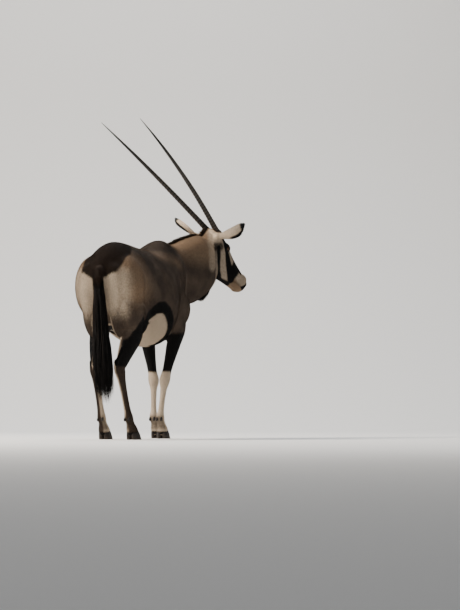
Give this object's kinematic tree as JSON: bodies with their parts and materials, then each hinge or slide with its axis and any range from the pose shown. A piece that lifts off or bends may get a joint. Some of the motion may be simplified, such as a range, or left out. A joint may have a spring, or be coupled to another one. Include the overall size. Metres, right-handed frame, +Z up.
{
  "type": "gemsbok",
  "caption": "A life-size gemsbok antelope standing at rest, neck and head turned to its right, with long straight ringed horns, black and white face and leg markings and a long black tail.",
  "frame": {"origin": "middle of the bounding box at floor level, under the trunk", "axes": "+X is the way the trunk faces, +Y is the animal's left, +Z is up; the hooves stand on Z = 0"},
  "size_m": [1.7806, 0.7214, 1.9405],
  "materials": {
    "coat": "matt short hair",
    "dark_hair": "matt long hair",
    "horn": "satin keratin",
    "hoof": "satin keratin",
    "eye": "wet gloss"
  },
  "bodies": {
    "root": {"head": "coat", "neck": "coat", "torso": "coat", "thigh_right": "coat", "thigh_left": "coat", "forearm_right": "coat", "forearm_left": "coat", "shank_hind_right": "coat", "shank_hind_left": "coat", "shank_fore_right": "coat", "shank_fore_left": "coat", "ear_right": "coat", "ear_left": "coat", "tail": "dark_hair", "horn_right": "horn", "horn_left": "horn", "eye_right": "eye", "eye_left": "eye", "hoof_fore_right_outer": "hoof", "dewclaw_fore_right_outer": "hoof", "hoof_fore_right_inner": "hoof", "dewclaw_fore_right_inner": "hoof", "hoof_fore_left_outer": "hoof", "dewclaw_fore_left_outer": "hoof", "hoof_fore_left_inner": "hoof", "dewclaw_fore_left_inner": "hoof", "hoof_hind_right_outer": "hoof", "dewclaw_hind_right_outer": "hoof", "hoof_hind_right_inner": "hoof", "dewclaw_hind_right_inner": "hoof", "hoof_hind_left_outer": "hoof", "dewclaw_hind_left_outer": "hoof", "hoof_hind_left_inner": "hoof", "dewclaw_hind_left_inner": "hoof"}
  },
  "joints": []
}
